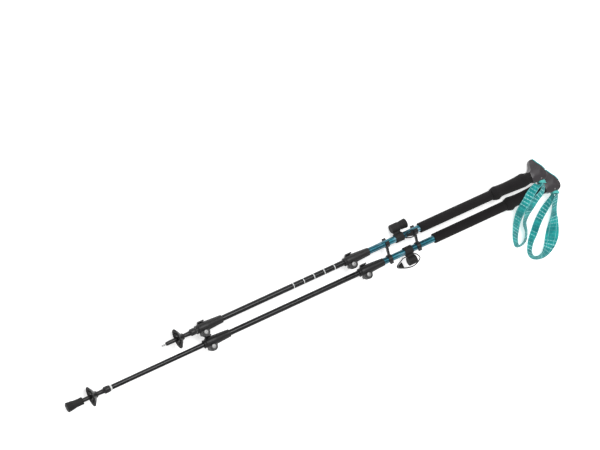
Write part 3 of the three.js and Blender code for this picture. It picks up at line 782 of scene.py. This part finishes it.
def ferrule(pole):
    """Tapered ferrule with its basket thread and collar, the carbide tip and the pale ring."""
    name = pole.name
    profile = [(10.3, 2.35), (10.3, 2.7), (10.6, 3.5), (11.4, 4.3),
               (14, 4.75), (20, 4.95), (30, 5.1), (41, 5.2)]
    for turn in range(8):
        start = 42.4 + turn * 1.9
        profile += [(start, 4.85), (start + 0.7, 5.35), (start + 1.2, 5.35)]
    profile += [
        (58.4, 5.1), (66, 5.3), (72, 5.6), (73.5, 6.2), (75.2, 7.9), (76.4, 8.4), (79, 8.45),
        (79.4, 8.15), (80.4, 8.15), (80.8, 8.45), (84, 8.4), (86.6, 7.95), (COLLAR_END - 0.3, 7.5),
        (COLLAR_END, 7.2), (COLLAR_END, LOWER_RADIUS + BORE_GAP), (76.2, LOWER_RADIUS + BORE_GAP),
        (76.2, 2.35), (10.3, 2.35),
    ]
    add_piece(turned(profile, 48), f"{name}_tip_ferrule", pole.at(pole.tip), f"{name}_lower",
              "gloss_plastic", [f"{name}_ferrule"])
    point = turned([(1.4, 0), (0.5, 0.8), (0, 1.4), (0.3, 1.85), (1.0, 2), (24, 2), (24, 0)], 24)
    add_piece(point, f"{name}_carbide_point", pole.at(pole.tip), f"{name}_lower", "carbide",
              [f"{name}_carbide_tip"])
    inner = LOWER_RADIUS + BORE_GAP
    start = COLLAR_END + 0.3
    ring = turned([
        (start, inner), (start, 6.8), (start + 0.3, 7.1), (start + 3.6, 7.1), (start + 3.9, 6.8),
        (start + 3.9, inner), (start, inner),
    ], 48)
    add_piece(ring, f"{name}_depth_collar", pole.at(pole.tip), f"{name}_lower", "pale_ring",
              [f"{name}_depth_ring"])


def basket(pole):
    """A domed disc with a toothed rim, ribs on its hollow side and slots between them."""
    name = pole.name
    teeth = 24
    sides = teeth * 4
    profile = [
        (-7, 5.6), (-7, 7.3), (-6.6, 7.6), (-2.2, 8.3), (-1.6, 8.9), (-2.3, 12), (-3.4, 15),
        (-5.6, 19), (-8.4, 22.6), (-9.3, 23.5), (-9.5, 23.9), (-8.9, 24.2), (-7.6, 24.2),
        (-5.0, 20.6), (-2.6, 17.2), (-1.1, 15), (0.6, 11.6), (1.8, 9.4), (3, 8.5), (6.5, 7.6),
        (7, 7.2), (7, 5.6), (-7, 5.6),
    ]
    disc = turned(profile, sides)
    for vert in disc.verts:
        out = math.hypot(vert.co.y, vert.co.z)
        if out > 19.5:
            angle = math.atan2(vert.co.z, vert.co.y)
            notch = max(0.0, math.cos(angle * teeth)) ** 3
            pull = 1 - 0.055 * notch * min(1.0, (out - 19.5) / 3)
            vert.co.y *= pull
            vert.co.z *= pull
    for rib in range(8):
        blade = bmesh.new()
        bmesh.ops.create_cube(blade, size=1.0)
        sized = Matrix.Translation((-4.3, 15.0, 0)) @ Matrix.Rotation(math.radians(27), 4, "Z")
        bmesh.ops.transform(blade, matrix=sized @ Matrix.Diagonal((2.2, 14.5, 1.3, 1)),
                            verts=blade.verts)
        rounded(blade, 0.35, 35, 1)
        turn = Matrix.Rotation(rib * math.tau / 8, 4, "X")
        bmesh.ops.transform(blade, matrix=turn, verts=blade.verts)
        merged(disc, blade)
    add_piece(disc, f"{name}_basket_disc", pole.at(pole.tip + BASKET_AT), f"{name}_basket",
              "gloss_plastic", [f"{name}_basket"])


def tip_cap(pole, matrix):
    """A rubber foot: ribs round its flared end, grooves across its sole, a rim at its mouth."""
    name = pole.name
    profile = [(0.0, 0), (0.0, 10.2), (0.5, 11.1), (1.6, 11.65), (3.0, 11.7)]
    for rib in range(3):
        start = 4.0 + rib * 3.4
        profile += [(start, 11.5 - rib * 0.32), (start + 0.5, 10.9 - rib * 0.32),
                    (start + 1.3, 10.9 - rib * 0.32), (start + 1.8, 11.4 - rib * 0.32)]
    profile += [
        (15.6, 10.3), (17.6, 9.7), (19.4, 9.1), (27, 8.9), (CAP_LENGTH - 3.2, 8.7),
        (CAP_LENGTH - 2.9, 9.05), (CAP_LENGTH - 0.5, 9.05), (CAP_LENGTH, 8.6), (CAP_LENGTH, 5.6),
        (CAP_LENGTH - 0.5, 5.4), (14, 5.2), (13, 2.6), (13, 0),
    ]
    add_piece(turned(profile), f"{name}_rubber_foot", matrix, f"{name}_tip_cap", "rubber",
              [f"{name}_tip_cap"])
    sole = bmesh.new()
    for across in (-6.6, -3.3, 0, 3.3, 6.6):
        pad = bmesh.new()
        bmesh.ops.create_cube(pad, size=1.0)
        width = 2 * math.sqrt(9.8 ** 2 - across ** 2)
        sized = Matrix.Translation((0.25, across, 0)) @ Matrix.Diagonal((1.1, 1.9, width, 1))
        bmesh.ops.transform(pad, matrix=sized, verts=pad.verts)
        rounded(pad, 0.25, 35, 1)
        merged(sole, pad)
    add_piece(sole, f"{name}_sole_lugs", matrix, f"{name}_tip_cap", "rubber")


# ---------------------------------------------------------------- holder and clips


def cap_holders():
    for pole in POLES:
        name = pole.name
        add_piece(from_cad(f"{name}_cap_holder", 0.42, 4), f"{name}_holder_body", ROW,
                  f"{name}_holder", "rubber", [f"{name}_cap_holder"], 60)


def twin_clips():
    for clip in ("twin_clip_1", "twin_clip_2"):
        add_piece(from_cad(clip, 0.36, 3), f"{clip}_body", ROW, "pole_a_upper",
                  "gloss_plastic", [clip], 60)


for pole in POLES:
    tubes(pole)
    foam_handles(pole)
    heads(pole)
    clamps(pole)
    ferrule(pole)
    basket(pole)
cap_holders()
twin_clips()
tip_cap(POLE_B, POLE_B.at(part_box("pole_b_tip_cap")[0].x / MM))
stored = Matrix.Translation((0, STORED_CAP_OFFSET, 0)) @ Matrix.Rotation(math.pi, 4, "Z")
tip_cap(POLE_A, POLE_A.at(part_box("pole_a_tip_cap")[1].x / MM) @ stored)

# ---------------------------------------------------------------- wrist straps

# The way that the flat of a strap faces when its twist is 0.
FACING = Vector((-math.sin(LOOK_TURN), math.cos(LOOK_TURN) * math.sin(ROLL),
                 math.cos(LOOK_TURN) * math.cos(ROLL)))


def smooth_line(stations):
    """Rows of numbers evenly along a Catmull-Rom line through the given ones. The first three
    of each are the place. Gives the rows and the line's length."""
    fine = []
    first = [2 * a - b for a, b in zip(stations[0], stations[1])]
    last = [2 * a - b for a, b in zip(stations[-1], stations[-2])]
    whole = [first, *stations, last]
    for a, b, c, d in zip(whole, whole[1:], whole[2:], whole[3:]):
        for k in range(12):
            t = k / 12
            fine.append([0.5 * (2 * q + (r - p) * t + (2 * p - 5 * q + 4 * r - w) * t * t
                                + (3 * q - p - 3 * r + w) * t ** 3)
                         for p, q, r, w in zip(a, b, c, d)])
    fine.append(list(stations[-1]))
    reach = [0.0]
    for a, b in zip(fine, fine[1:]):
        reach.append(reach[-1] + math.dist(a[:3], b[:3]))
    even = []
    at = 0
    for k in range(RIBBON_STEPS + 1):
        want = reach[-1] * k / RIBBON_STEPS
        while at < len(reach) - 2 and reach[at + 1] < want:
            at += 1
        t = (want - reach[at]) / (reach[at + 1] - reach[at])
        even.append([p + (q - p) * t for p, q in zip(fine[at], fine[at + 1])])
    return even, reach[-1]


def ribbon(name, body, stations, finish, nodes=(), closed=False):
    """A woven ribbon through stations of x, y, z, half width and twist in degrees from
    FACING. It is crowned along its middle and has a thicker edge. Its u and v are metres across it
    and along it."""
    line, length = smooth_line(stations)
    bm = bmesh.new()
    layer = bm.loops.layers.uv.new("UVMap")
    bmesh.ops.create_grid(bm, x_segments=RIBBON_COLUMNS, y_segments=RIBBON_STEPS, size=0.5)
    place = {}
    for vert in bm.verts:
        place[vert] = (vert.co.x, round((vert.co.y + 0.5) * RIBBON_STEPS))
    for vert, (u, k) in place.items():
        ahead = Vector(line[min(k + 1, RIBBON_STEPS)][:3]) - Vector(line[max(k - 1, 0)][:3])
        if closed and k in (0, RIBBON_STEPS):
            ahead = Vector(line[1][:3]) - Vector(line[RIBBON_STEPS - 1][:3])
        ahead.normalize()
        half, twist = line[k][3:]
        across = Matrix.Rotation(math.radians(twist), 3, ahead) @ ahead.cross(FACING).normalized()
        crown = 0.4 * (1 - 4 * u * u) + (0.2 if abs(u) > 0.43 else 0.0)
        vert.co = Vector(line[k][:3]) + across * (2 * u * half) + ahead.cross(across) * crown
    for face in bm.faces:
        for loop in face.loops:
            u, k = place[loop.vert]
            loop[layer].uv = (2 * u * line[k][3] * MM, k / RIBBON_STEPS * length * MM)
    if closed:
        bmesh.ops.remove_doubles(bm, verts=bm.verts, dist=0.01)
    bm.normal_update()
    bmesh.ops.solidify(bm, geom=bm.faces, thickness=STRAP_THICKNESS)
    moved = Matrix.Scale(MM, 4) @ Matrix.Translation(ORIGIN)
    strip = add_piece(bm, name, moved, body, finish, nodes, 50)
    return strip, length, sum(row[3] for row in line) / len(line) * 2


def keeper(pole):
    """A short band of the same webbing round both legs of the strap, where they leave the head."""
    centre = Matrix.Translation((POCKET_AT + pole.upper, KEEPER_Y, 0))
    stand = Matrix.Translation(-ORIGIN) @ Matrix.Scale(1 / MM, 4) @ pole.at() @ centre
    turn = Matrix.Rotation(math.radians(-24), 4, "Z")
    points = []
    for k in range(16):
        angle = math.tau * k / 15
        x = KEEPER_REACH * math.copysign(abs(math.cos(angle)) ** 0.45, math.cos(angle))
        z = KEEPER_REACH * math.copysign(abs(math.sin(angle)) ** 0.45, math.sin(angle))
        points.append(stand @ turn @ Vector((x, 0, z)))
    along = (stand @ turn).to_3x3() @ Vector((0, 1, 0))
    stations = []
    for k, point in enumerate(points):
        ahead = (points[(k + 1) % 15] - points[k - 1 if 0 < k < 15 else 14]).normalized()
        flat = ahead.cross(FACING).normalized()
        twist = math.degrees(math.atan2(ahead.dot(flat.cross(along)), flat.dot(along)))
        if stations:
            twist = stations[-1][4] + (twist - stations[-1][4] + 180) % 360 - 180
        stations.append((*point, KEEPER_HALF_WIDTH, twist))
    strip, _, _ = ribbon(f"{pole.name}_strap_keeper", f"{pole.name}_upper", stations,
                         "plain_webbing", closed=True)
    return strip


def wrist_strap(pole, stations):
    """The strap's one long ribbon, whose two ends wrap the pin in the head, and its keeper."""
    band = keeper(pole)
    strip, length, width = ribbon(f"{pole.name}_wrist_strap", f"{pole.name}_upper", stations,
                                  "webbing", [f"{pole.name}_strap"])
    round(width * MM, 4)
    round(length * MM, 4)


wrist_strap(POLE_A, [
    (655, 12, 29.4, 7, 90), (654, 2.4, 34.5, 7.5, 85), (648, 2, 40, 8.5, 55),
    (637.5, 2.5, 43.5, 9.5, 25), (618.7, -8.8, 46, 10.5, 5), (601.6, -24.7, 46, 10.5, 0),
    (586.4, -46.2, 38, 10.5, 10), (578, -75.1, 24, 10, 35), (572.7, -109.3, 13, 10, 52),
    (569.5, -133.5, 10, 10, 62), (572.5, -148.2, 10, 10, 70), (585.2, -151.5, 10, 10, 74),
    (598.7, -143.8, 10, 10, 70), (605.5, -122.4, 11, 10, 68), (603.2, -94.2, 18, 10, 58),
    (606, -67.9, 31, 10, 50), (616.2, -46.6, 41, 10, 42), (632.2, -28.8, 46, 9.5, 42),
    (648.7, -18.6, 47, 9, 50), (660, -5.8, 43, 8.5, 65), (664, 2.6, 35.5, 7.5, 85),
    (664, 12, 29.4, 7, 90),
])
wrist_strap(POLE_B, [
    (686, -30.9, 29.3, 7, 90), (685.5, -40.6, 34.4, 7.5, 85), (683.5, -48, 33, 8, 62),
    (679, -58.5, 27.5, 9, 44), (659.6, -80.7, 20, 9.5, 25), (641.9, -108, 12, 9.5, 20),
    (625, -134.4, 10, 9.5, 25), (611.4, -153.7, 9.5, 9.5, 47), (602.6, -177.4, 10, 9.5, 60),
    (607.8, -195.2, 10, 9.5, 65), (623.8, -204.5, 10, 10, 62), (644.2, -202.4, 10, 13, 50),
    (662.1, -187.1, 9.5, 15.5, 28), (674.9, -162, 9.5, 16.5, 5), (684.4, -132.1, 11, 14, 25),
    (689.4, -99, 17, 10, 45), (692.7, -68, 26, 9, 42), (694.8, -50, 33, 8, 60),
    (695.4, -41, 34.6, 7.5, 82), (695.1, -30.9, 29.3, 7, 90),
])

# ---------------------------------------------------------------- floor and light


def floor():
    """A plain pale floor."""
    bm = bmesh.new()
    bmesh.ops.create_grid(bm, x_segments=1, y_segments=1, size=12)
    bmesh.ops.translate(bm, verts=bm.verts, vec=(0, 0, CAD_BOX[0][2] - 0.0002))
    mesh = bpy.data.meshes.new("floor")
    bm.to_mesh(mesh)
    bm.free()
    ground = bpy.data.objects.new("floor", mesh)
    bpy.context.scene.collection.objects.link(ground)
    finish = Finish("pale_floor", Roughness=0.95, Specular_IOR_Level=0.0, Emission_Strength=0.5)
    finish.shader.inputs["Emission Color"].default_value = rgb(1.0, 1.0, 1.0)
    cloud = finish.noise(1.5, 2.0, 0.5)
    ground.data.materials.append(
        finish.surface(finish.mix(cloud, rgb(0.93, 0.93, 0.93), rgb(0.96, 0.96, 0.96))))


def soft_light(name, where, size, power):
    """A large square light that faces the middle of the pair."""
    lamp = bpy.data.lights.new(name, "AREA")
    lamp.shape = "SQUARE"
    lamp.size = size
    lamp.energy = power
    light = bpy.data.objects.new(name, lamp)
    bpy.context.scene.collection.objects.link(light)
    light.location = where
    towards = Vector((0.1, 0, 0)) - light.location
    light.rotation_euler = towards.to_track_quat("-Z", "Y").to_euler()


floor()
soft_light("key_light", Vector((0.6, 2.6, 3.4)), 1.8, 125)
soft_light("fill_light", Vector((-2.4, -1.6, 3.0)), 2.4, 26)
soft_light("rim_light", Vector((1.8, -2.8, 2.0)), 1.6, 22)
world = bpy.data.worlds.new("studio")
world.use_nodes = True
world.node_tree.nodes["Background"].inputs["Color"].default_value = rgb(1.0, 1.0, 1.0)
world.node_tree.nodes["Background"].inputs["Strength"].default_value = 0.42
bpy.context.scene.world = world
bpy.context.scene.view_settings.view_transform = "Standard"
